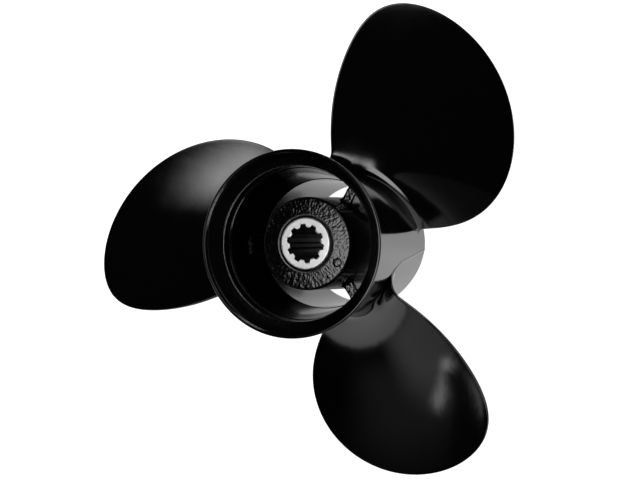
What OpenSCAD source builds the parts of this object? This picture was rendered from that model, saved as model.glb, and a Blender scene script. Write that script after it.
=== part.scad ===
// Three-blade outboard propeller, right-hand, with the exhaust led out through its hub.
// Z runs along the shaft and +Z points aft. The origin is on the shaft axis, in the plane
// where the splined sleeve's front face seats on the thrust washer.

/* [Blades] */
// Diameter swept by the blade tips
tip_d = 260; // [216:1:320]
// Advance in one turn, at the blade roots
root_pitch = 270; // [220:1:330]
// Advance in one turn, at the blade tips
tip_pitch = 250; // [200:1:330]
// Height of a blade's reference line at the root, above the thrust seat
blade_h = 36.7; // [32:0.1:42]
// How far the reference line leans aft from root to tip
blade_rake = 21; // [0:1:40]
// Half the angle a blade covers at its root, one third, two thirds and tip
half_width = [35.5, 38.3, 35, 32.3]; // [20:0.1:50]
// Angle by which the blade's middle trails its root at the same four stations
skew = [0, 0.3, 4.7, 14.8]; // [-20:0.1:30]
// Power of the curve that closes the tip, higher is squarer
tip_power = 3; // [2:0.1:4]
// Greatest thickness of a blade at its root
root_t = 9; // [6:0.5:12]
// Greatest thickness of a blade near its tip
tip_t = 3; // [2:0.5:5]
// Thickness of the leading and trailing edges
edge_t = 1.6; // [1:0.1:2.4]
// Depth to which a blade's root reaches into the barrel before it is trimmed to it
root_sink = 1.5; // [1:0.1:2]

/* [Sleeve] */
// Outer diameter of the splined sleeve
sleeve_d = 25.5; // [21:0.1:32]
// Diameter over the bottoms of the spline's grooves
spline_major_d = 18.8; // [15:0.1:19.5]
// Diameter over the tops of the spline's teeth
spline_minor_d = 15.8; // [12:0.1:17]
// Number of grooves in the spline
spline_teeth = 10; // [6:1:16]
// Width of a groove at its bottom
groove_w = 2.4; // [1.5:0.1:2.8]
// Widening of a groove on each side at the tooth tops
groove_flare = 0.35; // [0:0.05:0.6]
// Angle of the first groove about the shaft
groove_angle = 31.7; // [0:0.1:36]
// Depth of the plain pilot bore at the sleeve's front end
pilot_len = 8; // [5:0.5:15]
// Radial step from the grooves' bottoms out to the pilot bore
pilot_step = 0.8; // [0.2:0.1:1]
// How far the sleeve stands out of the hub at its front end
sleeve_front_stand = 2; // [1:0.1:4]
// How far the sleeve stands out of the hub at its aft end
sleeve_aft_stand = 1; // [0.5:0.1:3]
// Chamfer on the sleeve's outer edges
sleeve_chamfer = 0.5; // [0.2:0.1:0.8]

/* [Rubber bush] */
// Thickness of rubber between sleeve and hub
rubber_t = 7.25; // [5:0.05:9]
// Radial running clearance between rubber and hub
rubber_fit = 0.05; // [0.02:0.01:0.1]
// Set-back of the rubber from the hub's front face
rubber_set = 4; // [1:0.5:8]
// Gap between the rubber and the shoulder at the hub's aft end
rubber_gap = 1; // [0.5:0.1:3]
// Chamfer on the rubber's outer edges
rubber_chamfer = 2; // [0.5:0.1:4]

/* [Inner hub] */
// Wall of the inner hub at its front end
hub_front_wall = 6.5; // [4:0.1:9]
// Wall of the inner hub at its aft end
hub_aft_wall = 3; // [2:0.1:4]
// Length of the narrow neck that the sleeve passes at the aft end
neck_len = 9; // [5:0.5:15]
// Radial gap between the sleeve and that neck
neck_gap = 1.1; // [0.5:0.1:2]
// Chamfer round the mouth of the neck
neck_chamfer = 0.5; // [0.2:0.1:1]
// Set-back of the hub's aft face from the aft lip
hub_aft_set = 23.4; // [18:0.1:30]
// Chamfer round the hub's aft face
hub_chamfer = 1; // [0.5:0.1:2]

/* [Barrel and diffuser ring] */
// Overall length from the barrel's front rim to the aft lip
barrel_len = 125; // [104:1:160]
// Distance from the front rim back to the thrust seat
thrust_recess = 6; // [3:0.5:10]
// Width of the exhaust passage between hub and barrel at the front
passage_w = 8.1; // [6:0.1:12]
// Wall of the barrel at its front rim
front_wall = 2.4; // [1.8:0.1:4]
// How much the passage narrows from the front to the waist, on the radius
waist_step = 1; // [0:0.1:1.5]
// Distance from the aft lip to the waist inside the barrel
waist_set = 52.3; // [40:0.1:60]
// How much the passage widens from the waist to the flare, on the radius
throat_step = 3.8; // [2:0.1:6]
// Depth of the flare inside the aft lip
flare_depth = 9.5; // [6:0.1:12]
// How much the flare widens, on the radius
flare_out = 5.6; // [3:0.1:8]
// Width of the lip's flat end face and outer bevel together
lip_w = 1.5; // [1.2:0.1:3]
// Bevel on the lip's outer edge
lip_bevel = 0.7; // [0.3:0.1:1]
// Length of the diffuser ring
ring_len = 15; // [13:0.5:20]
// Straight stretch of the diffuser ring before it flares
ring_neck = 3; // [1:0.5:5]
// Wall of the barrel where the diffuser ring begins
aft_wall = 2.6; // [2:0.1:4]

/* [Ribs] */
// Thickness of the three ribs between hub and barrel
rib_w = 5.5; // [4:0.1:8]
// Set-back of the ribs from the hub's front face
rib_set = 3; // [2:0.5:10]
// Distance from the aft lip to the ribs' aft ends, which lie at the waist
rib_aft_set = 52.3; // [40:0.1:60]
// Angle by which each rib trails its blade's reference line
rib_turn = 13.7; // [0:0.1:30]

/* [Hidden] */
$fn = 96;

blade_count = 3;
first_angle = 90;          // blade_1 points along +Y
past = 1;                  // overrun of a cutting shape past the face it cuts

// Radii, from the shaft outwards
sleeve_r = sleeve_d / 2;
pilot_r = spline_major_d / 2 + pilot_step;
neck_r = sleeve_r + neck_gap;
bush_r = sleeve_r + rubber_t;
hub_front_r = bush_r + hub_front_wall;
hub_aft_r = bush_r + hub_aft_wall;
front_in_r = hub_front_r + passage_w;
front_out_r = front_in_r + front_wall;
waist_r = front_in_r - waist_step;
throat_r = waist_r + throat_step;
lip_in_r = throat_r + flare_out;
lip_out_r = lip_in_r + lip_w;
root_r = front_out_r - root_sink;
tip_r = tip_d / 2;

// Heights along the shaft
rim_z = -thrust_recess;
lip_z = rim_z + barrel_len;
ring_z = lip_z - ring_len;
throat_z = lip_z - flare_depth;
waist_z = lip_z - waist_set;
hub_front_z = sleeve_front_stand;
hub_aft_z = lip_z - hub_aft_set;
neck_z = hub_aft_z - neck_len;
sleeve_aft_z = hub_aft_z + sleeve_aft_stand;
ring_in_r = waist_r + throat_step * (ring_z - waist_z) / (throat_z - waist_z);
ring_out_r = ring_in_r + aft_wall;

// Blade mesh: stations from root to tip, and points across each face
span_steps = 20;
chord_steps = 14;
last_station = 89.3;       // degrees of the sine that spaces the stations

// Value at t = 0 to 1 of the cubic through four evenly spaced values
function through4(v, t) = let(s = 3 * t)
    -v[0] * (s - 1) * (s - 2) * (s - 3) / 6
    + v[1] * s * (s - 2) * (s - 3) / 2
    - v[2] * s * (s - 1) * (s - 3) / 2
    + v[3] * s * (s - 1) * (s - 2) / 6;

function closing(t) = sqrt(1 - pow(t, tip_power));
function pitch_at(t) = root_pitch + (tip_pitch - root_pitch) * t;
function radius_at(t) = root_r + (tip_r - root_r) * t;
function angle_at(t, u) = through4(skew, t) + u * through4(half_width, t) * closing(t);
function height_at(t, a) = blade_h + blade_rake * t + pitch_at(t) * a / 360;
function lean_at(t) = atan(pitch_at(t) / (2 * PI * radius_at(t)));
function thickness_at(t, u) = edge_t
    + (root_t + (tip_t - root_t) * t - edge_t) * (1 - u * u) * closing(t);

// Point of a blade at station t and chord place u, from -1 leading to 1 trailing,
// set back by d from the driving face towards the bow
function blade_point(t, u, d) = let(
        a = angle_at(t, u),
        r = radius_at(t),
        lean = lean_at(t))
    [r * cos(a) - d * sin(a) * sin(lean),
     r * sin(a) + d * cos(a) * sin(lean),
     height_at(t, a) - d * cos(lean)];

function station(i) = sin(last_station * i / span_steps);
function chord_place(j) = -cos(180 * j / chord_steps);

// One closed loop of points round the blade at a station: driving face, then back
function blade_ring(t) = concat(
    [for (j = [0:chord_steps]) blade_point(t, chord_place(j), 0)],
    [for (j = [chord_steps:-1:0]) let(u = chord_place(j)) blade_point(t, u, thickness_at(t, u))]);

module blade_solid() {
    ring_n = 2 * (chord_steps + 1);
    points = [for (i = [0:span_steps]) each blade_ring(station(i))];
    sides = [for (i = [0:span_steps - 1]) for (j = [0:ring_n - 1])
        let(a = i * ring_n + j, b = i * ring_n + (j + 1) % ring_n)
        each [[a, a + ring_n, b], [b, a + ring_n, b + ring_n]]];
    root_cap = [for (j = [0:chord_steps - 1]) let(back = ring_n - 1 - j)
        each [[j, j + 1, back - 1], [j, back - 1, back]]];
    tip_cap = [for (f = root_cap) [for (k = [2, 1, 0]) f[k] + span_steps * ring_n]];
    polyhedron(points = points, faces = concat(sides, root_cap, tip_cap), convexity = 4);
}

// The barrel's outside, solid
module barrel_envelope() {
    translate([0, 0, rim_z]) cylinder(h = ring_z - rim_z, r1 = front_out_r, r2 = ring_out_r);
}

// The hub's outside, solid
module hub_envelope() {
    translate([0, 0, hub_front_z])
        cylinder(h = hub_aft_z - hub_front_z, r1 = hub_front_r, r2 = hub_aft_r);
}

// The exhaust space inside the barrel, solid
module barrel_cavity() {
    rotate_extrude()
        polygon([[0, rim_z], [front_in_r, rim_z], [waist_r, waist_z],
                 [ring_in_r, ring_z], [0, ring_z]]);
}

module blade(index) {
    color("#141516")
        difference() {
            rotate([0, 0, first_angle + 360 * index / blade_count]) blade_solid();
            barrel_envelope();
        }
}

module outer_barrel() {
    color("#17181a")
        rotate_extrude()
            polygon([[front_in_r, rim_z], [front_out_r, rim_z], [ring_out_r, ring_z],
                     [ring_in_r, ring_z], [waist_r, waist_z]]);
}

module diffuser_ring() {
    color("#17181a")
        rotate_extrude()
            polygon([[ring_in_r, ring_z], [ring_out_r, ring_z], [ring_out_r, ring_z + ring_neck],
                     [lip_out_r, lip_z - lip_w], [lip_out_r, lip_z - lip_bevel],
                     [lip_out_r - lip_bevel, lip_z], [lip_in_r, lip_z], [throat_r, throat_z]]);
}

module inner_hub() {
    hub_taper = (hub_front_r - hub_aft_r) / (hub_aft_z - hub_front_z);
    color("#1d1e20")
        rotate_extrude()
            polygon([[bush_r, hub_front_z], [hub_front_r, hub_front_z],
                     [hub_aft_r + hub_taper * hub_chamfer, hub_aft_z - hub_chamfer],
                     [hub_aft_r - hub_chamfer, hub_aft_z], [neck_r + neck_chamfer, hub_aft_z],
                     [neck_r, hub_aft_z - neck_chamfer], [neck_r, neck_z], [bush_r, neck_z]]);
}

module rib(index) {
    rib_z = hub_front_z + rib_set;
    rib_len = lip_z - rib_aft_set - rib_z;
    color("#1a1b1d")
        difference() {
            intersection() {
                rotate([0, 0, first_angle + rib_turn + 360 * index / blade_count])
                    translate([0, -rib_w / 2, rib_z]) cube([front_out_r, rib_w, rib_len]);
                barrel_cavity();
            }
            hub_envelope();
        }
}

module rubber_bush() {
    out_r = bush_r - rubber_fit;
    low = hub_front_z + rubber_set;
    high = neck_z - rubber_gap;
    color("#0c0c0d")
        rotate_extrude()
            polygon([[sleeve_r, low], [out_r - rubber_chamfer, low], [out_r, low + rubber_chamfer],
                     [out_r, high - rubber_chamfer], [out_r - rubber_chamfer, high],
                     [sleeve_r, high]]);
}

// Outline of the splined hole: a round hole at the tooth tops with a groove between teeth
module spline_outline() {
    major_r = spline_major_d / 2;
    minor_r = spline_minor_d / 2;
    bottom = groove_w / 2;
    top = bottom + groove_flare;
    intersection() {
        circle(r = major_r);
        union() {
            circle(r = minor_r);
            for (k = [0:spline_teeth - 1])
                rotate(groove_angle + 360 * k / spline_teeth)
                    polygon([[0, -top], [minor_r, -top], [major_r, -bottom], [major_r + past, -bottom],
                             [major_r + past, bottom], [major_r, bottom], [minor_r, top], [0, top]]);
        }
    }
}

module splined_sleeve() {
    color("#c9cacc")
        difference() {
            rotate_extrude()
                polygon([[0, 0], [sleeve_r - sleeve_chamfer, 0], [sleeve_r, sleeve_chamfer],
                         [sleeve_r, sleeve_aft_z - sleeve_chamfer],
                         [sleeve_r - sleeve_chamfer, sleeve_aft_z], [0, sleeve_aft_z]]);
            translate([0, 0, -past]) linear_extrude(sleeve_aft_z + 2 * past) spline_outline();
            translate([0, 0, -past]) cylinder(h = pilot_len + past, r = pilot_r);
        }
}

blade(0);  // blade_1
blade(1);  // blade_2
blade(2);  // blade_3
outer_barrel();
diffuser_ring();
inner_hub();
rib(0);  // rib_1
rib(1);  // rib_2
rib(2);  // rib_3
rubber_bush();
splined_sleeve();
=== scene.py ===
import math

import bmesh
import bpy
import numpy as np
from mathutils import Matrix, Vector, noise


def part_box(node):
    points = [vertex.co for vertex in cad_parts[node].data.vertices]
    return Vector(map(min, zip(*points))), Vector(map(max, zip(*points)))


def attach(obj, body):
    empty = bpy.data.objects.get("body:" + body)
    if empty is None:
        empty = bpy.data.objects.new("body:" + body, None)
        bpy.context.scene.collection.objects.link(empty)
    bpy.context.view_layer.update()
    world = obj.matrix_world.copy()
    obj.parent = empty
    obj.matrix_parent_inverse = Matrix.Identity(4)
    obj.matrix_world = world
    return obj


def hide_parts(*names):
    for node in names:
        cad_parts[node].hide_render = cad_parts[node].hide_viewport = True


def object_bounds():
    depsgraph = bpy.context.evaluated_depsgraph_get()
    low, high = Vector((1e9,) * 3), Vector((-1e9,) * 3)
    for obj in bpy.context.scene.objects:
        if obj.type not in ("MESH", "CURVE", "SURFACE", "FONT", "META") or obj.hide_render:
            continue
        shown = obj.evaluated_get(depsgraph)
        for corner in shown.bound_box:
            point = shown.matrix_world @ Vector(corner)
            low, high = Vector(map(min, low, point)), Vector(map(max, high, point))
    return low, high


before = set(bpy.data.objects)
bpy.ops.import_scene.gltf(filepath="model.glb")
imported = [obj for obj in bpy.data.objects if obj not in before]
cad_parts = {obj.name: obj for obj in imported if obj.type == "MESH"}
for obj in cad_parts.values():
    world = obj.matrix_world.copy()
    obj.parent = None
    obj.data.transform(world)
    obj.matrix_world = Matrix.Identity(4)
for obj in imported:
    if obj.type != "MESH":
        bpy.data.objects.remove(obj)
cad_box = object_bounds()

# ---- Studio ----
# The propeller stands on the front end of its barrel on a pale, glowing table, in a dark room. Soft
# boxes hang in the room as patches of light in the sky: one overhead, one beside it, the rest low.

CAMERA_PLACE = (0.1166, 0.1100, 0.5438)
CAMERA_TURN = (-0.07, 18.83, 42.50)
CAMERA_LENS = 54.6
SENSOR_WIDTH = 36.0
TABLE_HALF = 6.0
TABLE_COLOUR = (0.86, 0.86, 0.86, 1.0)
TABLE_ROUGHNESS = 0.8
TABLE_GLOW = 0.5
TABLE_SEEN_GLOW = 0.95
ROOM_LIGHT = 0.002
BACKDROP_LIGHT = 1.05
SOFT_BOXES = {
    "overhead": dict(azimuth=-62, elevation=86, half=(12, 12), soft=4, light=5.5),
    "side": dict(azimuth=99, elevation=46, half=(13, 6), soft=8, light=6.5),
    "low": dict(azimuth=10, elevation=14, half=(15, 6), soft=3, light=6.5),
    "low_far": dict(azimuth=-65, elevation=7, half=(5, 6), soft=2, light=0.35),
    "behind": dict(azimuth=122, elevation=2, half=(10, 6), soft=3, light=8.0),
    "fill": dict(azimuth=-110, elevation=12, half=(12, 12), soft=6, light=0.5),
    "fill_wide": dict(azimuth=-127, elevation=22, half=(12, 12), soft=8, light=0.12),
    "fill_edge": dict(azimuth=-115.6, elevation=24.6, half=(1.0, 5.5), soft=0.9, light=3.0, lean=58),
    "fill_rim": dict(azimuth=-111.6, elevation=28.6, half=(1.0, 7.0), soft=0.8, light=1.1, lean=10),
}
FLAG = dict(azimuth=-116.0, elevation=31.0, half=(2.6, 8.0), soft=0.8, lean=31)


def add(tree, kind, inputs=None, **settings):
    """Adds a node to a tree. Each input is a plain value or another node's output socket."""
    node = tree.nodes.new(kind)
    for name, value in settings.items():
        setattr(node, name, value)
    for name, given in (inputs or {}).items():
        if isinstance(given, bpy.types.NodeSocket):
            tree.links.new(given, node.inputs[name])
        else:
            node.inputs[name].default_value = given
    return node


def maths(tree, operation, *given):
    """One arithmetic node, and its result."""
    return add(tree, "ShaderNodeMath", dict(enumerate(given)), operation=operation).outputs[0]


def new_group(name, inputs, outputs):
    """An empty node group with named sockets, each input given as name: default value."""
    tree = bpy.data.node_groups.new(name, "ShaderNodeTree")
    for label, value in inputs.items():
        kind = "NodeSocketFloat" if isinstance(value, float) else "NodeSocketVector"
        socket = tree.interface.new_socket(label, in_out="INPUT", socket_type=kind)
        socket.default_value = value
    for label in outputs:
        tree.interface.new_socket(label, in_out="OUTPUT", socket_type="NodeSocketFloat")
    return tree, add(tree, "NodeGroupInput"), add(tree, "NodeGroupOutput")


def window_group():
    """1 inside a rectangle of sky about a direction, fading to 0 across its soft border."""
    ways = {"Direction": (0.0, 0.0, 1.0), "Centre": (0.0, 0.0, 1.0), "Across": (1.0, 0.0, 0.0),
            "Up": (0.0, 1.0, 0.0)}
    sizes = {"Half Width": 0.1, "Half Height": 0.1, "Softness": 0.05}
    tree, start, end = new_group("soft_window", {**ways, **sizes}, ["Mask"])

    def along(axis):
        ends = {0: start.outputs["Direction"], 1: start.outputs[axis]}
        return add(tree, "ShaderNodeVectorMath", ends, operation="DOT_PRODUCT").outputs["Value"]

    ahead = maths(tree, "MAXIMUM", along("Centre"), 0.01)
    mask = maths(tree, "GREATER_THAN", along("Centre"), 0.02)
    for axis, half in (("Across", "Half Width"), ("Up", "Half Height")):
        away = maths(tree, "ABSOLUTE", maths(tree, "DIVIDE", along(axis), ahead))
        outer = maths(tree, "ADD", start.outputs[half], start.outputs["Softness"])
        inner = maths(tree, "SUBTRACT", start.outputs[half], start.outputs["Softness"])
        side = add(tree, "ShaderNodeMapRange", {"Value": away, "From Min": outer, "From Max": inner},
                   interpolation_type="SMOOTHSTEP")
        mask = maths(tree, "MULTIPLY", mask, side.outputs["Result"])
    tree.links.new(mask, end.inputs["Mask"])
    return tree


def sky_window(tree, group, direction, azimuth, elevation, half, soft, lean=0, light=1.0):
    """One soft box in the sky: its light times its mask."""
    a, e, tilt = math.radians(azimuth), math.radians(elevation), math.radians(lean)
    centre = Vector((math.cos(a) * math.cos(e), math.sin(a) * math.cos(e), math.sin(e)))
    level = Vector((-math.sin(a), math.cos(a), 0))
    rise = centre.cross(level)
    values = {"Direction": direction, "Centre": centre,
              "Across": level * math.cos(tilt) + rise * math.sin(tilt),
              "Up": rise * math.cos(tilt) - level * math.sin(tilt),
              "Half Width": math.tan(math.radians(half[0])),
              "Half Height": math.tan(math.radians(half[1])),
              "Softness": math.tan(math.radians(soft))}
    mask = add(tree, "ShaderNodeGroup", node_tree=group)
    for name, value in values.items():
        if name == "Direction":
            tree.links.new(value, mask.inputs[name])
        else:
            mask.inputs[name].default_value = value
    return maths(tree, "MULTIPLY", mask.outputs["Mask"], light)


def make_sky():
    """The dark room and its soft boxes. Seen straight on, the room is a pale backdrop."""
    world = bpy.data.worlds.new("studio_sky")
    bpy.context.scene.world = world
    world.use_nodes = True
    tree = world.node_tree
    direction = add(tree, "ShaderNodeTexCoord").outputs["Generated"]
    group = window_group()
    total = ROOM_LIGHT
    for box in SOFT_BOXES.values():
        total = maths(tree, "ADD", total, sky_window(tree, group, direction, **box))
    flag = maths(tree, "SUBTRACT", 1.0, sky_window(tree, group, direction, **FLAG))
    total = maths(tree, "MULTIPLY", total, flag)
    seen = add(tree, "ShaderNodeLightPath").outputs["Is Camera Ray"]
    mix = add(tree, "ShaderNodeMix", {"Factor": seen, "A": total, "B": BACKDROP_LIGHT})
    tree.links.new(mix.outputs["Result"], tree.nodes["Background"].inputs["Strength"])
    tree.nodes["Background"].inputs["Color"].default_value = (1, 1, 1, 1)


def new_material(name, **constants):
    """A material whose shader has these constant sockets, given by name with _ for a space."""
    material = bpy.data.materials.new(name)
    material.use_nodes = True
    shader = material.node_tree.nodes["Principled BSDF"]
    for label, value in constants.items():
        shader.inputs[label.replace("_", " ")].default_value = value
    return material, material.node_tree, shader


def make_table():
    """The table top, under the barrel's front rim. It glows less in reflections than seen directly."""
    z = cad_box[0].z
    corners = [(-1, -1), (1, -1), (1, 1), (-1, 1)]
    mesh = bpy.data.meshes.new("studio_table")
    mesh.from_pydata([(x * TABLE_HALF, y * TABLE_HALF, z) for x, y in corners], [], [(0, 1, 2, 3)])
    material, tree, shader = new_material(
        "pale_table", Base_Color=TABLE_COLOUR, Roughness=TABLE_ROUGHNESS,
        Emission_Strength=1.0)
    seen = add(tree, "ShaderNodeLightPath").outputs["Is Camera Ray"]
    glow = maths(tree, "MULTIPLY_ADD", seen, TABLE_SEEN_GLOW - TABLE_GLOW, TABLE_GLOW)
    tree.links.new(glow, shader.inputs["Emission Color"])
    mesh.materials.append(material)
    table = bpy.data.objects.new("studio_table", mesh)
    bpy.context.scene.collection.objects.link(table)


def make_camera():
    """The camera, a little off the shaft axis, looking down into the aft end of the barrel."""
    lens = bpy.data.cameras.new("camera")
    lens.lens = CAMERA_LENS
    lens.sensor_width = SENSOR_WIDTH
    camera = bpy.data.objects.new("camera", lens)
    camera.location = CAMERA_PLACE
    camera.rotation_euler = [math.radians(a) for a in CAMERA_TURN]
    bpy.context.scene.collection.objects.link(camera)
    bpy.context.scene.camera = camera


make_camera()
make_table()
make_sky()
bpy.context.scene.view_settings.view_transform = "Standard"

# ---- Outer barrel ----
# The outside of the casting: a thin, slightly tapered aluminium tube that the exhaust runs
# through. The moulds part along its side, from each blade's trailing root to the front rim, and
# leave a low ridge there. Like the rest of the casting it is painted gloss black.

MM = 0.001
BLADES = 3
FIRST_ANGLE = math.radians(90)
PAINT_COLOUR = (0.0016, 0.0016, 0.0017, 1.0)
BARREL_COLUMNS = 100
BARREL_ROWS = 100
RIM_ROUND = 0.8
RIDGE_HEIGHT = 0.3
RIDGE_WIDTH = 0.45
RIDGE_DROP = 0.8
RIDGE_REACH = 12.0
RIDGE_ANGLE = math.radians(57.0)
RIDGE_Z = 54.0
RIDGE_LEAN = math.radians(0.16)
RIDGE_TURN = math.radians(5.0)
RIDGE_TURN_Z = (50.0, 66.0)
RIDGE_FADE = (60.0, 68.0)
SEAM_HEIGHT = 0.22
SEAM_WIDTH = 0.35


def outline_of(node):
    """A turned CAD node's corners: each different pair of radius and height, in millimetres."""
    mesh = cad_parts[node].data
    points = np.empty(len(mesh.vertices) * 3)
    mesh.vertices.foreach_get("co", points)
    points = points.reshape(-1, 3) / MM
    pairs = np.stack([np.hypot(points[:, 0], points[:, 1]), points[:, 2]], -1)
    return np.unique(pairs.round(2), axis=0)


def smooth_step(low, high, x):
    """0 below low, 1 above high, with a smooth rise between."""
    s = np.clip((x - low) / (high - low), 0.0, 1.0)
    return s * s * (3 - 2 * s)


def grain(points, size, seed=0.0):
    """Smooth noise from -1 to 1 at points in millimetres, whose lumps are about size across."""
    shift = Vector((seed, 2 * seed, 3 * seed))
    return np.array([noise.noise(Vector(p) + shift) for p in np.asarray(points) / size])


def polar(radius, angle, z):
    """Points in millimetres from radii, angles and heights."""
    radius, angle, z = np.broadcast_arrays(radius, angle, z)
    return np.stack([radius * np.cos(angle), radius * np.sin(angle), z], -1)


def grid_faces(rows, columns, close_rows=True, close_columns=True, start=0):
    """Faces of a grid of points stored row by row, closed round either way if asked."""
    i = np.arange(rows if close_rows else rows - 1)[:, None] * columns
    j = np.arange(columns if close_columns else columns - 1)[None, :]
    up, along = (i + columns) % (rows * columns), (j + 1) % columns
    corners = [i + j, i + along, up + along, up + j]
    return (np.stack(corners, -1).reshape(-1, 4) + start).tolist()


def new_piece(name, points, faces, materials, body, nodes, face_materials=None):
    """Makes a smooth mesh piece from points in millimetres, and ties it to the frame."""
    mesh = bpy.data.meshes.new(name)
    mesh.from_pydata((np.asarray(points).reshape(-1, 3) * MM).tolist(), [], faces)
    for material in materials:
        mesh.materials.append(material)
    if face_materials is not None:
        mesh.polygons.foreach_set("material_index", np.asarray(face_materials, np.int32))
    shell = bmesh.new()
    shell.from_mesh(mesh)
    bmesh.ops.recalc_face_normals(shell, faces=shell.faces)
    shell.to_mesh(mesh)
    shell.free()
    mesh.shade_smooth()
    piece = bpy.data.objects.new(name, mesh)
    bpy.context.scene.collection.objects.link(piece)
    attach(piece, body)
    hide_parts(*nodes)
    return piece


def skin_group():
    """The skin of a painted or plain surface: a fine height map and a patchy roughness."""
    inputs = {"Lump Size": 1.0, "Lump Height": 1.0, "Fine Height": 0.2, "Roughness": 0.1,
              "Roughness Spread": 0.05}
    tree, start, end = new_group("skin", inputs, ["Height", "Roughness"])
    place = add(tree, "ShaderNodeTexCoord").outputs["Object"]
    scale = maths(tree, "DIVIDE", 1.0 / MM, start.outputs["Lump Size"])
    lumps = add(tree, "ShaderNodeTexNoise", {"Vector": place, "Scale": scale, "Detail": 2.0})
    fine_scale = maths(tree, "MULTIPLY", scale, 4.0)
    fine = add(tree, "ShaderNodeTexNoise", {"Vector": place, "Scale": fine_scale, "Detail": 3.0})
    patches = add(tree, "ShaderNodeTexNoise", {"Vector": place, "Scale": 60.0, "Detail": 5.0})
    high = maths(tree, "MULTIPLY", lumps.outputs["Fac"], start.outputs["Lump Height"])
    low = maths(tree, "MULTIPLY", fine.outputs["Fac"], start.outputs["Fine Height"])
    tree.links.new(maths(tree, "ADD", high, low), end.inputs["Height"])
    spread = maths(tree, "MULTIPLY", patches.outputs["Fac"], start.outputs["Roughness Spread"])
    tree.links.new(maths(tree, "ADD", spread, start.outputs["Roughness"]), end.inputs["Roughness"])
    return tree


SKIN = skin_group()


def add_skin(tree, shader, relief, **values):
    """Places the skin group in a material, with its heights in millimetres times relief."""
    skin = add(tree, "ShaderNodeGroup", node_tree=SKIN)
    for label, value in values.items():
        skin.inputs[label.replace("_", " ")].default_value = value
    bump = add(tree, "ShaderNodeBump", {"Height": skin.outputs["Height"], "Distance": relief * MM})
    tree.links.new(bump.outputs["Normal"], shader.inputs["Normal"])
    tree.links.new(skin.outputs["Roughness"], shader.inputs["Roughness"])
    return skin


def make_gloss_paint():
    """Gloss black paint over smooth metal: almost no colour, a clear shine, slight orange peel."""
    material, tree, shader = new_material("gloss_black_paint", Base_Color=PAINT_COLOUR)
    add_skin(tree, shader, 0.012, Lump_Size=2.6, Lump_Height=1.0, Fine_Height=0.04,
             Roughness=0.05, Roughness_Spread=0.10)
    return material


BARREL = outline_of("outer_barrel")
RIM_Z, JOIN_Z = BARREL[:, 1].min(), BARREL[:, 1].max()
RIM_IN, RIM_OUT = BARREL[BARREL[:, 1] == RIM_Z][:, 0][[0, -1]]
JOIN_IN, JOIN_OUT = BARREL[BARREL[:, 1] == JOIN_Z][:, 0][[0, -1]]
WAIST_R, WAIST_Z = BARREL[BARREL[:, 0].argmin()]


def ridge_angle(z):
    """Angle of a mould ridge past its blade's reference line, at each height."""
    return RIDGE_ANGLE + RIDGE_LEAN * (RIDGE_Z - z) - RIDGE_TURN * smooth_step(*RIDGE_TURN_Z, z)


def taper_radius(z):
    """Radius of the barrel's outside without its ridges."""
    return RIM_OUT + (JOIN_OUT - RIM_OUT) * (z - RIM_Z) / (JOIN_Z - RIM_Z)


def barrel_radius(angle, z):
    """Radius of the barrel's outside, with its taper and its three mould ridges."""
    third = 2 * math.pi / BLADES
    turn = (angle - FIRST_ANGLE - ridge_angle(z) + third / 2) % third - third / 2
    away = turn * taper_radius(z)
    shown = 1 - smooth_step(*RIDGE_FADE, z)
    drop = np.where(away < 0, RIDGE_DROP * (1 - np.exp(away / RIDGE_REACH)), 0.0)
    drop = drop * (1 - smooth_step(0.5, 1.0, -turn / (third / 2)))
    return taper_radius(z) + shown * (RIDGE_HEIGHT * np.exp(-((away / RIDGE_WIDTH) ** 2)) - drop)


def cavity_radius(z):
    """Radius of the exhaust space inside the barrel, narrowest at its waist, with a fine seam."""
    plain = np.interp(z, [RIM_Z, WAIST_Z, JOIN_Z], [RIM_IN, WAIST_R, JOIN_IN])
    return plain - SEAM_HEIGHT * np.exp(-(((z - WAIST_Z) / SEAM_WIDTH) ** 2))


def make_barrel(material):
    """Rows of points round the barrel that lean with its ridges, so each ridge is a clean line."""
    third = 2 * math.pi / BLADES
    even = np.linspace(-1, 1, BARREL_COLUMNS, endpoint=False)
    spread = np.sign(even) * (0.1 * np.abs(even) + 0.9 * np.abs(even) ** 2.2) * third / 2
    turns = np.concatenate([spread + k * third for k in range(BLADES)])
    rim_top = RIM_Z + RIM_ROUND
    rows = []
    for z in np.linspace(rim_top, JOIN_Z, BARREL_ROWS):
        angle = FIRST_ANGLE + ridge_angle(z) + turns
        rows.append(polar(barrel_radius(angle, z), angle, z))
    inner = np.concatenate([np.linspace(JOIN_Z, WAIST_Z + 1, 14), WAIST_Z + np.linspace(0.8, -0.8, 17),
                            np.linspace(WAIST_Z - 1, rim_top, 28)])
    for z in inner:
        rows.append(polar(cavity_radius(z), FIRST_ANGLE + ridge_angle(z) + turns, z))
    first, last = rows[0], rows[-1]
    for step in np.linspace(0, math.pi, 13)[1:-1]:
        share = (1 - math.cos(step)) / 2
        row = last * (1 - share) + first * share
        row[:, 2] = rim_top - RIM_ROUND * math.sin(step)
        rows.append(row)
    faces = grid_faces(len(rows), len(turns))
    return new_piece("barrel", rows, faces, [material], "casting", ["outer_barrel"])


gloss_paint = make_gloss_paint()
make_barrel(gloss_paint)

# ---- Diffuser ring ----
# The flared aft end of the same casting, which keeps exhaust away from the blades. Its outer skin
# and its lip are smooth, and the core leaves its inside rough, with a beaded ledge at the throat.

RING_COLUMNS = 420
LIP_ROUND = 0.35
LEDGE_WIDTH = 0.55
LEDGE_ROUND = 0.25
FLARE_GRAIN = 0.022
LEDGE_GRAIN = 0.16
LEDGE_REACH = 0.8
KNEE_SHARE = 0.78
FLARE_REACH = 11.0
FLARE_GRAIN_SIZE = 1.1


def bezier(points, steps):
    """Points along the curve drawn by four control points."""
    a, b, c, d = [np.array(p, float) for p in points]
    t = np.linspace(0, 1, steps)[:, None]
    return (1 - t) ** 3 * a + 3 * (1 - t) ** 2 * t * b + 3 * (1 - t) * t * t * c + t ** 3 * d


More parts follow.
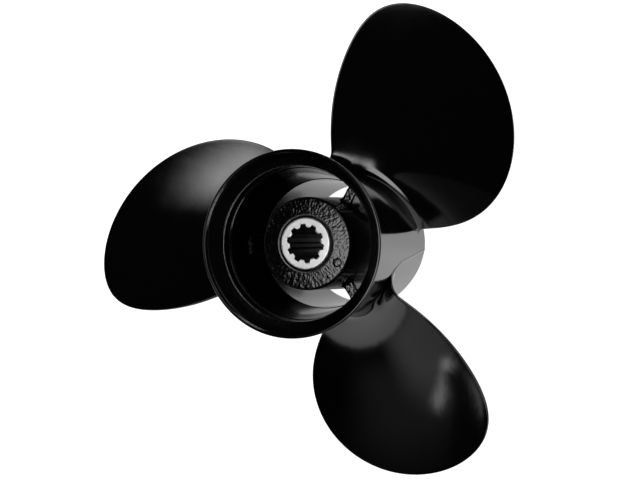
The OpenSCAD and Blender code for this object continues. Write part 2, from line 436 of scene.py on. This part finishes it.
def arc(centre, radius, begin, finish, steps=7):
    """Points round a centre from one angle to another, in degrees."""
    angle = np.radians(np.linspace(begin, finish, steps))
    return np.stack([centre[0] + radius * np.cos(angle), centre[1] + radius * np.sin(angle)], -1)


def straight(a, b, step):
    """Points from a towards b, without b, at most step apart."""
    a, b = np.array(a, float), np.array(b, float)
    count = max(2, int(math.ceil(np.linalg.norm(b - a) / step)) + 1)
    return a + (b - a) * np.linspace(0, 1, count)[:-1, None]


def turned(outline, columns):
    """Points of a closed outline of radius and height, turned about the shaft axis."""
    angle = np.linspace(0, 2 * math.pi, columns, endpoint=False)
    outline = np.asarray(outline)
    return polar(outline[:, 0, None], angle[None, :], outline[:, 1, None])


def make_rough_paint():
    """The same black paint over a sand-cast surface: pebbly, with a duller shine."""
    material, tree, shader = new_material("rough_black_paint", Base_Color=PAINT_COLOUR)
    add_skin(tree, shader, 0.07, Lump_Size=0.9, Lump_Height=1.0, Fine_Height=0.15,
             Roughness=0.08, Roughness_Spread=0.10)
    return material


def make_ring(smooth, rough):
    """The ring's flared section, turned, with its rough inside pushed about by grain."""
    ring = outline_of("diffuser_ring")
    lip_z = ring[:, 1].max()
    lip_in, lip_flat = ring[ring[:, 1] == lip_z][:, 0][[0, -1]]
    lip_out = ring[:, 0].max()
    bevel = lip_out - lip_flat
    inside = ring[(ring[:, 0] < lip_in) & (ring[:, 1] < lip_z)]
    throat_r, throat_z = inside[inside[:, 1] > lip_z - FLARE_REACH][0]
    shoulder_z = lip_z - 2 * bevel
    outside = bezier([(JOIN_OUT, JOIN_Z), (JOIN_OUT + 0.2, JOIN_Z + 5),
                      (lip_out - 2.6, shoulder_z - 5), (lip_out, shoulder_z)], 24)
    lip = np.concatenate([arc((lip_out - bevel, lip_z - bevel), bevel, 0, 90),
                          arc((lip_in + LIP_ROUND, lip_z - LIP_ROUND), LIP_ROUND, 90, 160)])
    low_lip = lip[-1]
    foot = np.array([throat_r + LEDGE_WIDTH, throat_z])
    cone = low_lip - foot
    knee = foot + cone * KNEE_SHARE
    flare = np.concatenate([
        bezier([low_lip, low_lip - (0.9, 0.6), knee + cone * 0.1, knee], 9)[1:],
        straight(knee, foot, 0.4)[1:],
        [foot, (throat_r + LEDGE_ROUND, throat_z)],
        arc((throat_r + LEDGE_ROUND, throat_z - LEDGE_ROUND), LEDGE_ROUND, 100, 180, 6)])
    wall_z = np.concatenate([throat_z - LEDGE_ROUND - np.linspace(0.15, 1.5, 7),
                             np.linspace(throat_z - 2, JOIN_Z, 5)])
    wall = np.stack([np.interp(wall_z, [JOIN_Z, throat_z], [JOIN_IN, throat_r]), wall_z], -1)
    outline = np.concatenate([outside, lip, flare, wall])
    points = turned(outline, RING_COLUMNS)
    inner = slice(len(outside) + len(lip), len(outline))
    flat = points[inner].reshape(-1, 3)
    near_ledge = np.exp(-(((flat[:, 2] - throat_z) / LEDGE_REACH) ** 2))
    amount = FLARE_GRAIN * smooth_step(0, 1.5, lip_z - 1 - flat[:, 2]) + LEDGE_GRAIN * near_ledge
    push = amount * grain(flat, FLARE_GRAIN_SIZE) * smooth_step(JOIN_Z, JOIN_Z + 1, flat[:, 2])
    radius = np.hypot(flat[:, 0], flat[:, 1])
    flat[:, :2] *= (1 + push / radius)[:, None]
    points[inner] = flat.reshape(points[inner].shape)
    faces = grid_faces(*points.shape[:2])
    rows = np.repeat(np.arange(len(outline)), RING_COLUMNS)
    kinds = (rows >= inner.start - 1).astype(int)
    return new_piece("diffuser", points, faces, [smooth, rough], "casting",
                     ["diffuser_ring"], kinds)


rough_paint = make_rough_paint()
make_ring(gloss_paint, rough_paint)

# ---- Inner hub ----
# The tube in the middle of the casting that grips the rubber bush. Its aft face is left as cast,
# pebbly and slightly crowned, with two plain pads, and a chamfer is machined round the neck.

HUB_COLUMNS = 420
HUB_FACE_ROWS = 34
HUB_EDGE_ROUND = 1.3
HUB_FRONT_ROUND = 1.0
HUB_CROWN = 0.55
HUB_GRAIN = 0.08
HUB_GRAIN_SIZE = 1.15
PAD_HEIGHT = 0.3
PAD_RADIUS = 1.9
PADS = (13, 279)
MACHINED_COLOUR = (0.62, 0.62, 0.62, 1.0)


def make_machined_aluminium():
    """Bare turned aluminium, for the machined chamfer."""
    material, tree, shader = new_material(
        "machined_aluminium", Base_Color=MACHINED_COLOUR, Metallic=1.0)
    add_skin(tree, shader, 0.01, Lump_Size=0.6, Lump_Height=1.0, Fine_Height=0.3,
             Roughness=0.28, Roughness_Spread=0.2)
    return material


def make_hub(smooth, rough, bare):
    """The hub's section, turned, with its aft face pushed about by grain and raised in two pads."""
    hub = outline_of("inner_hub")
    front_z, aft_z = hub[:, 1].min(), hub[:, 1].max()
    bore_r, front_r = hub[hub[:, 1] == front_z][:, 0][[0, -1]]
    mouth_r = hub[hub[:, 1] == aft_z][:, 0].min()
    neck_r = hub[:, 0].min()
    neck_z = hub[hub[:, 0] == neck_r][:, 1].min()
    aft_r = hub[hub[:, 1] == aft_z][:, 0].max() + (mouth_r - neck_r) * 2
    edge_z = aft_z - HUB_CROWN
    rim_r = aft_r - HUB_EDGE_ROUND
    face_r = np.linspace(rim_r, mouth_r, HUB_FACE_ROWS)[1:]
    face = np.stack([face_r, edge_z + HUB_CROWN * (rim_r - face_r) / (rim_r - mouth_r)], -1)
    outline = [
        straight((bore_r + 0.6, front_z), (front_r - HUB_FRONT_ROUND, front_z), 1.0),
        arc((front_r - HUB_FRONT_ROUND, front_z + HUB_FRONT_ROUND), HUB_FRONT_ROUND, -90, 0, 7),
        straight((front_r - 0.07, front_z + 2), (aft_r, edge_z - HUB_EDGE_ROUND - 0.3), 3.0),
        arc((rim_r, edge_z - HUB_EDGE_ROUND), HUB_EDGE_ROUND, 0, 90, 9),
        face,
        straight((mouth_r - 0.02, aft_z - 0.02), (neck_r, aft_z - (mouth_r - neck_r)), 0.25),
        straight((neck_r, aft_z - (mouth_r - neck_r) - 0.1), (neck_r, neck_z + 0.3), 1.0),
        arc((neck_r + 0.3, neck_z + 0.3), 0.3, 180, 270, 4),
        straight((neck_r + 1, neck_z), (bore_r - 0.3, neck_z), 1.5),
        straight((bore_r, neck_z - 0.3), (bore_r, front_z + 0.6), 4.0),
        arc((bore_r + 0.6, front_z + 0.6), 0.6, 180, 260, 5),
    ]
    starts = np.cumsum([0] + [len(part) for part in outline])
    points = turned(np.concatenate(outline), HUB_COLUMNS)
    area = slice(starts[3] + 3, starts[5])
    flat = points[area].reshape(-1, 3)
    radius, angle = np.hypot(flat[:, 0], flat[:, 1]), np.arctan2(flat[:, 1], flat[:, 0])
    stretched = np.stack([np.cos(angle) * rim_r, np.sin(angle) * rim_r, radius * 0.55], -1)
    inside = smooth_step(mouth_r, mouth_r + 0.8, radius) * (1 - smooth_step(rim_r, aft_r, radius))
    bumps = grain(stretched, HUB_GRAIN_SIZE, 3.0) + 0.5 * grain(flat, HUB_GRAIN_SIZE * 0.5, 7.0)
    flat[:, 2] += HUB_GRAIN * bumps * inside
    middle = (mouth_r + aft_r) / 2
    for pad in PADS:
        centre = polar(middle, math.radians(pad), 0)[:2]
        gap = np.hypot(flat[:, 0] - centre[0], flat[:, 1] - centre[1])
        flat[:, 2] += PAD_HEIGHT * (1 - smooth_step(PAD_RADIUS - 0.3, PAD_RADIUS + 0.3, gap))
    flat[:, 2] = np.minimum(flat[:, 2], aft_z)
    points[area] = flat.reshape(points[area].shape)
    rows = np.arange(len(points))
    kinds = np.where((rows >= area.start) & (rows < area.stop - 1), 1, 0)
    kinds = np.where((rows >= starts[5] - 1) & (rows < starts[6]), 2, kinds)
    return new_piece("hub", points, grid_faces(*points.shape[:2]), [smooth, rough, bare],
                     "casting", ["inner_hub"], np.repeat(kinds, HUB_COLUMNS))


make_hub(gloss_paint, rough_paint, make_machined_aluminium())

# ---- Ribs ----
# Three webs of the casting that carry the hub inside the front of the barrel. Their roots are
# blended into both walls, and their aft ends lie at the waist, where the cores met, left rough.

RIB_ANGLE = FIRST_ANGLE + math.radians(13.7)
RIB_ROWS = 30
RIB_ROUND = 0.9
RIB_BLEND = 2.2
RIB_SINK = 0.12
RIB_GRAIN = 0.22
RIB_GRAIN_SIZE = 0.9
RIB_ROUGH_DEPTH = 4.0
RIB_END_SPREAD = 0.35


def blend_out(distance, radius):
    """How far a concave blend of this radius stands out, at a distance from the wall it meets."""
    return radius - np.sqrt(radius ** 2 - (radius - np.clip(distance, 0, radius)) ** 2)


def make_rib(index, smooth, rough):
    """A rib: a long rounded section, swept from hub to barrel, widening where it meets them."""
    low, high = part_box(f"rib_{index + 1}")
    bottom, top = low.z / MM, high.z / MM
    hub = outline_of("inner_hub")
    hub_z = [hub[:, 1].min(), hub[:, 1].max()]
    hub_r = [hub[:, 0].max(), hub[hub[:, 1] > hub_z[1] - 1.5][:, 0].max()]
    turn = RIB_ANGLE + 2 * math.pi * index / BLADES
    beside = Vector((-math.sin(turn), math.cos(turn), 0))
    half = max(beside.dot(v.co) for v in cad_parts[f"rib_{index + 1}"].data.vertices) / MM
    inner = half - RIB_ROUND
    sides = [straight((half, bottom + RIB_ROUND), (half, top - RIB_ROUND), 1.2),
             arc((inner, top - RIB_ROUND), RIB_ROUND, 0, 90, 6),
             straight((inner - 0.3, top), (0.3 - inner, top), 0.35),
             arc((-inner, top - RIB_ROUND), RIB_ROUND, 90, 180, 6),
             straight((-half, top - RIB_ROUND - 0.3), (-half, bottom + RIB_ROUND), 1.2),
             arc((-inner, bottom + RIB_ROUND), RIB_ROUND, 180, 270, 6),
             arc((inner, bottom + RIB_ROUND), RIB_ROUND, 270, 355, 6)]
    outline = np.concatenate(sides)
    across = np.roll(outline, -1, 0) - np.roll(outline, 1, 0)
    out = np.stack([across[:, 1], -across[:, 0]], -1)
    out /= np.linalg.norm(out, axis=1)[:, None]
    even = np.linspace(0, 1, RIB_ROWS)
    share = (1 - np.cos(math.pi * even)) / 2
    rows = []
    for q in share:
        y, z = outline.T
        near = np.interp(z, hub_z, hub_r) - RIB_SINK
        far = np.interp(z, [RIM_Z, WAIST_Z, JOIN_Z], [RIM_IN, WAIST_R, JOIN_IN]) + RIB_SINK
        radius = near + (far - near) * q
        grow = blend_out(radius - near, RIB_BLEND) + blend_out(far - radius, RIB_BLEND)
        y = y + out[:, 0] * grow
        z = z + out[:, 1] * grow * np.where(out[:, 1] < 0, 1, RIB_END_SPREAD)
        row = np.stack([np.sqrt(radius ** 2 - y ** 2), y, z], -1)
        rough_part = smooth_step(top - 6, top - 1, outline[:, 1])
        row += (RIB_GRAIN * rough_part * grain(row, RIB_GRAIN_SIZE, 5.0 + index))[:, None] * (
            np.stack([np.zeros_like(y), out[:, 0], out[:, 1]], -1))
        rows.append(row)
    points = np.array(rows)
    points = points @ np.array([[math.cos(turn), math.sin(turn), 0],
                                [-math.sin(turn), math.cos(turn), 0], [0, 0, 1]])
    count = points.shape[1]
    faces = grid_faces(*points.shape[:2], close_rows=False)
    kinds = np.tile((outline[:, 1] > top - RIB_ROUGH_DEPTH).astype(int), RIB_ROWS - 1).tolist()
    last = (RIB_ROWS - 1) * count
    faces += [list(range(count)), list(range(last, last + count))]
    return new_piece(f"rib_web_{index + 1}", points, faces, [smooth, rough], "casting",
                     [f"rib_{index + 1}"], kinds + [0, 0])


for rib_index in range(BLADES):
    make_rib(rib_index, gloss_paint, rough_paint)

# ---- Blades ----
# Three right-hand blades of the same casting, each a twisted, raked and cambered plate with a
# rounded edge. The driving face looks aft. The root swells into the barrel, and the trailing edge
# sweeps round into the mould ridge as a thin web.

ROOT_R = 35.5
ROOT_PITCH = 270.0
TIP_PITCH = 250.0
BLADE_Z = 36.7
BLADE_RAKE = 21.0
HALF_WIDTH = (35.5, 38.3, 35.0, 32.3)
SKEW = (0.0, 0.3, 4.7, 14.8)
ROOT_THICK = 9.0
TIP_THICK = 3.0
EDGE_THICK = 1.6
GRID_EDGE = 0.955
OUTLINE_EDGE = 0.997
CORNER_T = 0.8
BLADE_COLUMNS = 90
ROOT_ROWS = 16
ROOT_ZONE = 0.085
SPAN_ROWS = 74
EDGE_STEPS = 13
SMALL_STEP = 1e-4
EDGE_SQUARE = 0.6
ROOT_BLEND = 7.0
END_BLEND = 1.2
ROOT_SINK = 0.2
TRAILING_SWEEP = 10.5
LEADING_SWEEP = 3.0
TRAILING_FROM = 0.45
LEADING_FROM = 0.7
WAVE_HEIGHT = 0.012
WAVE_SIZE = 7.0
STROKE_HEIGHT = 0.010
STROKE_SIZE = 2.6
STROKE_REACH = 24.0
STROKE_START = (39.0, 46.0)
WAVE_START = (40.0, 48.0)
TIP_R = max(math.hypot(v.co.x, v.co.y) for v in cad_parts["blade_1"].data.vertices) / MM


def through4(values, t):
    """The cubic through four evenly spaced values, at t from 0 to 1."""
    s = 3 * t
    return (-values[0] * (s - 1) * (s - 2) * (s - 3) / 6 + values[1] * s * (s - 2) * (s - 3) / 2
            - values[2] * s * (s - 1) * (s - 3) / 2 + values[3] * s * (s - 1) * (s - 2) / 6)


def blade_place(t, v, back):
    """Angle, radius and height at span t and chord place v, set back towards the bow by a length.

    The outline is where v squared plus t cubed is 1."""
    angle = np.radians(through4(SKEW, t) + v * through4(HALF_WIDTH, t))
    radius = ROOT_R + (TIP_R - ROOT_R) * t
    pitch = ROOT_PITCH + (TIP_PITCH - ROOT_PITCH) * t
    z = BLADE_Z + BLADE_RAKE * t + pitch * angle / (2 * math.pi)
    lean = np.arctan2(pitch, 2 * math.pi * radius)
    return angle + back * np.sin(lean) / radius, radius, z - back * np.cos(lean), lean


def blade_thickness(t, v):
    """Thickness of the blade: thin at the outline, thickest in the middle of the chord."""
    closing = np.sqrt(np.clip(1 - t ** 3, 1e-6, 1))
    fullness = np.clip((closing ** 2 - v ** 2) / closing, 0, 1)
    return EDGE_THICK + (ROOT_THICK + (TIP_THICK - ROOT_THICK) * t - EDGE_THICK) * fullness


def root_t(v):
    """Span place at which the blade's surface meets the barrel, along the chord."""
    t = np.full_like(v, 0.03)
    for _ in range(4):
        z = blade_place(t, v, 0)[2]
        t = (taper_radius(z) - ROOT_SINK - ROOT_R) / (TIP_R - ROOT_R)
    return t


def blade_grid():
    """Span and chord places of a grid that fills the outline shrunk by GRID_EDGE."""
    even = np.linspace(-1, 1, BLADE_COLUMNS)
    across = 0.5 * even + 0.5 * np.sin(even * math.pi / 2)
    near = ROOT_ZONE * (np.arange(ROOT_ROWS) / ROOT_ROWS) ** 2
    rise = np.concatenate([near, np.linspace(ROOT_ZONE, 1, SPAN_ROWS)])
    corner_v = math.sqrt(GRID_EDGE ** 2 - CORNER_T ** 3)
    bottom_v = across * GRID_EDGE
    bottom = np.stack([root_t(bottom_v), bottom_v], -1)[None]
    top_v = across * corner_v
    top = np.stack([(GRID_EDGE ** 2 - top_v ** 2) ** (1 / 3), top_v], -1)[None]
    sides = []
    for sign, end in ((-1, 0), (1, -1)):
        t = bottom[0, end, 0] + (CORNER_T - bottom[0, end, 0]) * rise
        sides.append(np.stack([t, sign * np.sqrt(GRID_EDGE ** 2 - t ** 3)], -1)[:, None])
    x, y = (across[None, :, None] + 1) / 2, rise[:, None, None]
    corners = ((1 - x) * (1 - y) * bottom[:, :1] + x * (1 - y) * bottom[:, -1:]
               + (1 - x) * y * top[:, :1] + x * y * top[:, -1:])
    grid = (1 - y) * bottom + y * top + (1 - x) * sides[0] + x * sides[1] - corners
    return grid[..., 0], grid[..., 1]


def seat_root(angle, radius, z, lean, t, v, side):
    """Swells the blade's root into the barrel, and sweeps its two ends along the barrel."""
    chord = np.clip(v / np.sqrt(1 - np.clip(t, 0, 0.9) ** 3), -1, 1)
    above = radius - taper_radius(z)
    blend = END_BLEND + (ROOT_BLEND - END_BLEND) * (1 - np.abs(chord) ** 3)
    swell = blend_out(above, blend) * side
    aft_end = smooth_step(TRAILING_FROM, 1.0, chord) * blend_out(above, TRAILING_SWEEP)
    fore_end = smooth_step(LEADING_FROM, 1.0, -chord) * blend_out(above, LEADING_SWEEP)
    angle = angle + (aft_end - fore_end - swell * np.sin(lean)) / radius
    z = z + swell * np.cos(lean)
    foot = barrel_radius(angle + FIRST_ANGLE, z) - taper_radius(z)
    settle = 1 - smooth_step(0, ROOT_BLEND, above)
    return polar(radius + foot * settle, angle, z)


def blade_points():
    """Points and faces of blade_1, as if its reference line pointed along +X."""
    t, v = blade_grid()
    rows, columns = t.shape
    thick = blade_thickness(t, v)
    front = blade_place(t, v, 0 * thick)
    rear = blade_place(t, v, thick)
    ring = np.concatenate([np.arange(rows) * columns,
                           (rows - 1) * columns + np.arange(1, columns),
                           np.arange(rows - 2, -1, -1) * columns + columns - 1])
    grow = OUTLINE_EDGE / GRID_EDGE
    ring_t, ring_v = t.ravel()[ring] * grow ** (2 / 3), v.ravel()[ring] * grow
    ring_t[[0, -1]] = t.ravel()[ring][[0, -1]]
    edge = polar(*[blade_place(ring_t, ring_v, 0)[k] for k in (1, 0, 2)])
    along_t = polar(*[blade_place(ring_t + SMALL_STEP, ring_v, 0)[k] for k in (1, 0, 2)]) - edge
    along_v = polar(*[blade_place(ring_t, ring_v + SMALL_STEP, 0)[k] for k in (1, 0, 2)]) - edge
    normal = np.cross(along_t, along_v)
    normal *= np.sign(normal[:, 2:]) / np.linalg.norm(normal, axis=1)[:, None]
    onward = np.gradient(edge, axis=0)
    outward = np.cross(onward, normal)
    outward /= np.linalg.norm(outward, axis=1)[:, None]
    outward *= np.sign(np.sum(outward * (edge - edge.mean(0)), 1))[:, None]
    half = EDGE_THICK / 2
    parts = [seat_root(*front, t, v, 1.0)]
    for turn in np.linspace(0, math.pi, EDGE_STEPS):
        bulge = max(math.sin(turn), 0.0) ** EDGE_SQUARE
        level = math.copysign(abs(math.cos(turn)) ** EDGE_SQUARE, math.cos(turn))
        loop = edge - outward * half * (1 - bulge) - normal * half * (1 - level)
        radius, angle = np.hypot(loop[:, 0], loop[:, 1]), np.arctan2(loop[:, 1], loop[:, 0])
        lean = blade_place(ring_t, ring_v, 0)[3]
        parts.append(seat_root(angle, radius, loop[:, 2], lean, ring_t, ring_v, math.cos(turn)))
    parts.append(seat_root(*rear, t, v, -1.0))
    points = np.concatenate([part.reshape(-1, 3) for part in parts])
    grid = rows * columns
    faces = grid_faces(rows, columns, False, False)
    count = len(ring)
    loops = [ring] + [grid + k * count + np.arange(count) for k in range(EDGE_STEPS)]
    loops.append(grid + EDGE_STEPS * count + ring)
    for a, b in zip(loops[:-1], loops[1:]):
        faces += np.stack([a[:-1], a[1:], b[1:], b[:-1]], -1).tolist()
    faces += grid_faces(rows, columns, False, False, start=grid + EDGE_STEPS * count)
    foot = list(range(columns)) + [int(loop[-1]) for loop in loops[1:-1]]
    back_foot = [grid + EDGE_STEPS * count + k for k in range(columns)]
    foot += back_foot[::-1] + [int(loop[0]) for loop in loops[-2:0:-1]]
    faces.append(foot)
    return points, faces


def make_blades(material):
    """Three blades from one set of points, each with its own faint waves and fettling strokes."""
    base, faces = blade_points()
    radius = np.hypot(base[:, 0], base[:, 1])
    strokes = STROKE_HEIGHT * np.sin((radius - ROOT_R) * 2 * math.pi / STROKE_SIZE)
    strokes *= np.exp(-(((radius - ROOT_R) / STROKE_REACH) ** 2)) * smooth_step(*STROKE_START, radius)
    for index in range(BLADES):
        waves = WAVE_HEIGHT * (grain(base, WAVE_SIZE, 11.0 + index)
                               + 0.4 * grain(base, WAVE_SIZE / 2, 17.0 + index))
        points = base.copy()
        points[:, 2] += waves * smooth_step(*WAVE_START, radius) + strokes
        turn = FIRST_ANGLE + 2 * math.pi * index / BLADES
        c, s = math.cos(turn), math.sin(turn)
        points = points @ np.array([[c, s, 0], [-s, c, 0], [0, 0, 1]])
        new_piece(f"propeller_blade_{index + 1}", points, faces, [material], "casting",
                  [f"blade_{index + 1}"])


make_blades(gloss_paint)

# ---- Rubber bush ----
# A thick sleeve of black rubber, bonded to the splined sleeve and pressed into the hub. It takes
# up shocks from the gearbox, and slips if a blade strikes something.

RUBBER_COLUMNS = 120
RUBBER_COLOUR = (0.012, 0.012, 0.012, 1.0)
RUBBER_ROUND = 1.8
RUBBER_DISH = 0.5


def make_rubber_material():
    """Dull black rubber, faintly dusty."""
    material, tree, shader = new_material("black_rubber", Base_Color=RUBBER_COLOUR)
    add_skin(tree, shader, 0.03, Lump_Size=1.6, Lump_Height=0.6, Fine_Height=0.4,
             Roughness=0.45, Roughness_Spread=0.3)
    return material


def make_rubber(material):
    """The bush's section, turned: rounded outer corners and slightly dished ends."""
    bush = outline_of("rubber_bush")
    low, high = bush[:, 1].min(), bush[:, 1].max()
    bore_r, out_r = bush[:, 0].min(), bush[:, 0].max()
    ends = out_r - RUBBER_ROUND
    dish_r = np.linspace(bore_r, ends, 14)
    dish = RUBBER_DISH * np.sin(math.pi * (dish_r - bore_r) / (ends - bore_r)) ** 2
    outline = np.concatenate([
        np.stack([dish_r, low + dish], -1)[:-1],
        arc((ends, low + RUBBER_ROUND), RUBBER_ROUND, -90, 0, 8),
        straight((out_r, low + RUBBER_ROUND + 0.3), (out_r, high - RUBBER_ROUND - 0.1), 3.0),
        arc((ends, high - RUBBER_ROUND), RUBBER_ROUND, 0, 90, 8),
        np.stack([dish_r, high - dish], -1)[-2::-1],
        straight((bore_r, high - 0.4), (bore_r, low + 0.2), 3.0)])
    points = turned(outline, RUBBER_COLUMNS)
    return new_piece("bush_rubber", points, grid_faces(*points.shape[:2]), [material], "bush",
                     ["rubber_bush"])


make_rubber(make_rubber_material())

# ---- Splined sleeve ----
# The steel core of the bush, turned outside and broached inside with ten tapered grooves that
# slide onto the propeller shaft. Its outside is bright from the lathe, and its bore is coloured dark
# as painted shade.

SPLINE_GROOVES = 10
GROOVE_ANGLE = math.radians(31.7)
GROOVE_KNOTS = (0.0, 6.6, 7.6, 10.9, 12.0, 18.0)
GROOVE_DEPTHS = (0.0, 0.0, 0.12, 0.9, 1.0, 1.0)
SPLINE_CHAMFER = 0.3
SLEEVE_CHAMFER = 0.5
STEEL_COLOUR = (0.80, 0.80, 0.79, 1.0)
# Painted shade: the bore's steel is coloured dark to stand in for the shade inside the bore.
BORE_SHADE_COLOUR = (0.07, 0.07, 0.07, 1.0)


def turning_group():
    """Fine rings left by a lathe tool about the shaft axis, as a height."""
    tree, start, end = new_group("turning_marks", {"Ring Spacing": 0.3}, ["Height"])
    place = add(tree, "ShaderNodeTexCoord").outputs["Object"]
    level = add(tree, "ShaderNodeVectorMath", {0: place, 1: (1.0, 1.0, 0.0)}, operation="MULTIPLY")
    radius = add(tree, "ShaderNodeVectorMath", {0: level.outputs["Vector"]}, operation="LENGTH")
    scale = maths(tree, "DIVIDE", 1.0 / MM, start.outputs["Ring Spacing"])
    rings = add(tree, "ShaderNodeTexNoise", {"W": radius.outputs["Value"], "Scale": scale,
                                             "Detail": 2.0}, noise_dimensions="1D")
    tree.links.new(rings.outputs["Fac"], end.inputs["Height"])
    return tree


def make_steel():
    """Turned steel: bright and metallic, with tool rings, and smudges in its shine."""
    material, tree, shader = new_material("turned_steel", Base_Color=STEEL_COLOUR, Metallic=1.0)
    skin = add_skin(tree, shader, 0.02, Lump_Size=1.4, Lump_Height=0.5, Fine_Height=0.25,
                    Roughness=0.30, Roughness_Spread=0.30)
    rings = add(tree, "ShaderNodeGroup", node_tree=turning_group())
    total = maths(tree, "ADD", skin.outputs["Height"], rings.outputs["Height"])
    bump = shader.inputs["Normal"].links[0].from_node
    tree.links.new(total, bump.inputs["Height"])
    return material


def make_shaded_bore_steel():
    """The broached bore: the same steel, coloured dark as painted shade inside the deep bore."""
    material, tree, shader = new_material("bore_steel_painted_shade", Base_Color=BORE_SHADE_COLOUR, Metallic=1.0)
    add_skin(tree, shader, 0.03, Lump_Size=1.2, Lump_Height=0.6, Fine_Height=0.4,
             Roughness=0.35, Roughness_Spread=0.3)
    return material


def make_sleeve(bright, shaded_bore):
    """Rows round the sleeve: aft face, outside, front face, pilot bore and splined bore."""
    sleeve = outline_of("splined_sleeve")
    low, high = sleeve[:, 1].min(), sleeve[:, 1].max()
    out_r, minor_r = sleeve[:, 0].max(), sleeve[:, 0].min()
    pilot_r = sleeve[sleeve[:, 1] == low][:, 0].min()
    pilot_z = sleeve[np.abs(sleeve[:, 0] - pilot_r) < 0.02][:, 1].max()
    inner = sleeve[(sleeve[:, 1] == high) & (sleeve[:, 0] < out_r - 1)][:, 0]
    major_r = inner.max()
    pitch = 2 * math.pi / SPLINE_GROOVES
    fold = np.radians(np.concatenate([np.linspace(0, 6, 4), np.linspace(6.6, 12, 9),
                                      np.linspace(13, 17.5, 4)]))
    turns = np.concatenate([-fold[:0:-1], fold])
    angle = np.concatenate([GROOVE_ANGLE + turns + k * pitch for k in range(SPLINE_GROOVES)])
    depth = np.interp(np.degrees(np.abs(turns)), GROOVE_KNOTS, GROOVE_DEPTHS)
    bore = np.tile(major_r + (minor_r - major_r) * depth, SPLINE_GROOVES)
    edge = SLEEVE_CHAMFER
    rows = [(bore, high - SPLINE_CHAMFER),
            (bore + 0.6 * SPLINE_CHAMFER, high - 0.3 * SPLINE_CHAMFER)]
    for share in np.linspace(0, 1, 8):
        inside = bore + SPLINE_CHAMFER
        rows.append((inside + (out_r - edge - inside) * share, high))
    rows += [(out_r - 0.3 * edge, high - 0.3 * edge), (out_r, high - edge), (out_r, high - 2 * edge)]
    rows += [(out_r, z) for z in np.linspace(high - 4, low + 4, 20)]
    rows += [(out_r, low + 2 * edge), (out_r, low + edge), (out_r - 0.3 * edge, low + 0.3 * edge)]
    rows += [(radius, low) for radius in np.linspace(out_r - edge, pilot_r + 0.3, 5)]
    rows += [(pilot_r + 0.08, low + 0.08), (pilot_r, low + 0.3), (pilot_r, pilot_z - 0.1)]
    rows += [(pilot_r - 0.1, pilot_z), (bore + 0.2, pilot_z), (bore, pilot_z + 0.2)]
    bore_start = len(rows) - 5
    rows += [(bore, z) for z in np.linspace(pilot_z + 3, high - 3, 16)]
    points = np.stack([polar(radius, angle, z) for radius, z in rows])
    faces = grid_faces(*points.shape[:2])
    # Rows from the pilot bore on take the dark bore steel, which is painted shade.
    kinds = (np.arange(len(rows)) >= bore_start).astype(int)
    return new_piece("spline_sleeve", points, faces, [bright, shaded_bore], "bush",
                     ["splined_sleeve"], np.repeat(kinds, len(angle)))


make_sleeve(make_steel(), make_shaded_bore_steel())
